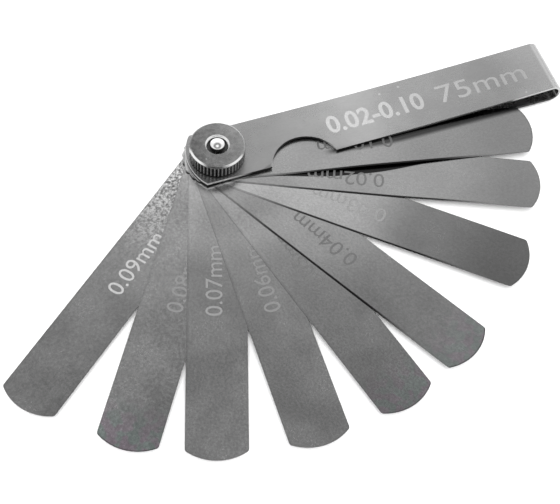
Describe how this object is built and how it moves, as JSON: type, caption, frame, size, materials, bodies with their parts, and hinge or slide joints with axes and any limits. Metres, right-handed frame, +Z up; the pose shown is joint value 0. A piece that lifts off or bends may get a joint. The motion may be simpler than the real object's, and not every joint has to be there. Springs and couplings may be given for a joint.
{
  "type": "feeler gauge",
  "caption": "Folding feeler gauge: thin steel blades fan out on one screw from a bent sheet handle with a thumb notch, clamped by a round knurled nut.",
  "frame": {"origin": "on the pivot axis, at the underside of the screw head, which is what the gauge lies on", "axes": "+X along the handle towards its fold, +Z up along the pivot axis through the nut, and the blades swing out on the -Y side"},
  "size_m": [0.1326, 0.0759, 0.0077],
  "materials": {
    "handle_steel": "bent spring steel sheet, satin, lightly clouded",
    "blade_steel": "rolled spring steel strip, satin, with bright etched markings",
    "nut_plating": "nickel plated, turned and knurled",
    "screw_plating": "nickel plated, polished end",
    "washer_steel": "plain steel shim"
  },
  "bodies": {
    "handle": {"handle": "handle_steel", "pivot_screw": "screw_plating", "lower_washer": "washer_steel", "upper_washer": "washer_steel"},
    "blade_0_10": {"blade_0_10": "blade_steel"},
    "blade_0_02": {"blade_0_02": "blade_steel"},
    "blade_0_03": {"blade_0_03": "blade_steel"},
    "blade_0_04": {"blade_0_04": "blade_steel"},
    "blade_0_05": {"blade_0_05": "blade_steel"},
    "blade_0_06": {"blade_0_06": "blade_steel"},
    "blade_0_07": {"blade_0_07": "blade_steel"},
    "blade_0_08": {"blade_0_08": "blade_steel"},
    "blade_0_09": {"blade_0_09": "blade_steel"},
    "nut": {"thumb_nut": "nut_plating"}
  },
  "joints": [
    {"name": "blade_0_10_swing", "type": "hinge", "parent": "handle", "child": "blade_0_10", "pos_m": [0, 0, 0], "axis": [0, 0, 1], "range_deg": [-168.6, 11.4]},
    {"name": "blade_0_02_swing", "type": "hinge", "parent": "handle", "child": "blade_0_02", "pos_m": [0, 0, 0], "axis": [0, 0, 1], "range_deg": [-156.3, 23.7]},
    {"name": "blade_0_03_swing", "type": "hinge", "parent": "handle", "child": "blade_0_03", "pos_m": [0, 0, 0], "axis": [0, 0, 1], "range_deg": [-139.2, 40.8]},
    {"name": "blade_0_04_swing", "type": "hinge", "parent": "handle", "child": "blade_0_04", "pos_m": [0, 0, 0], "axis": [0, 0, 1], "range_deg": [-119.3, 60.7]},
    {"name": "blade_0_05_swing", "type": "hinge", "parent": "handle", "child": "blade_0_05", "pos_m": [0, 0, 0], "axis": [0, 0, 1], "range_deg": [-104.9, 75.1]},
    {"name": "blade_0_06_swing", "type": "hinge", "parent": "handle", "child": "blade_0_06", "pos_m": [0, 0, 0], "axis": [0, 0, 1], "range_deg": [-88.7, 91.3]},
    {"name": "blade_0_07_swing", "type": "hinge", "parent": "handle", "child": "blade_0_07", "pos_m": [0, 0, 0], "axis": [0, 0, 1], "range_deg": [-71.8, 108.2]},
    {"name": "blade_0_08_swing", "type": "hinge", "parent": "handle", "child": "blade_0_08", "pos_m": [0, 0, 0], "axis": [0, 0, 1], "range_deg": [-57.3, 122.7]},
    {"name": "blade_0_09_swing", "type": "hinge", "parent": "handle", "child": "blade_0_09", "pos_m": [0, 0, 0], "axis": [0, 0, 1], "range_deg": [-39.5, 140.5]},
    {"name": "nut_turn", "type": "hinge", "parent": "handle", "child": "nut", "pos_m": [0, 0, 0], "axis": [0, 0, 1], "continuous": true}
  ]
}
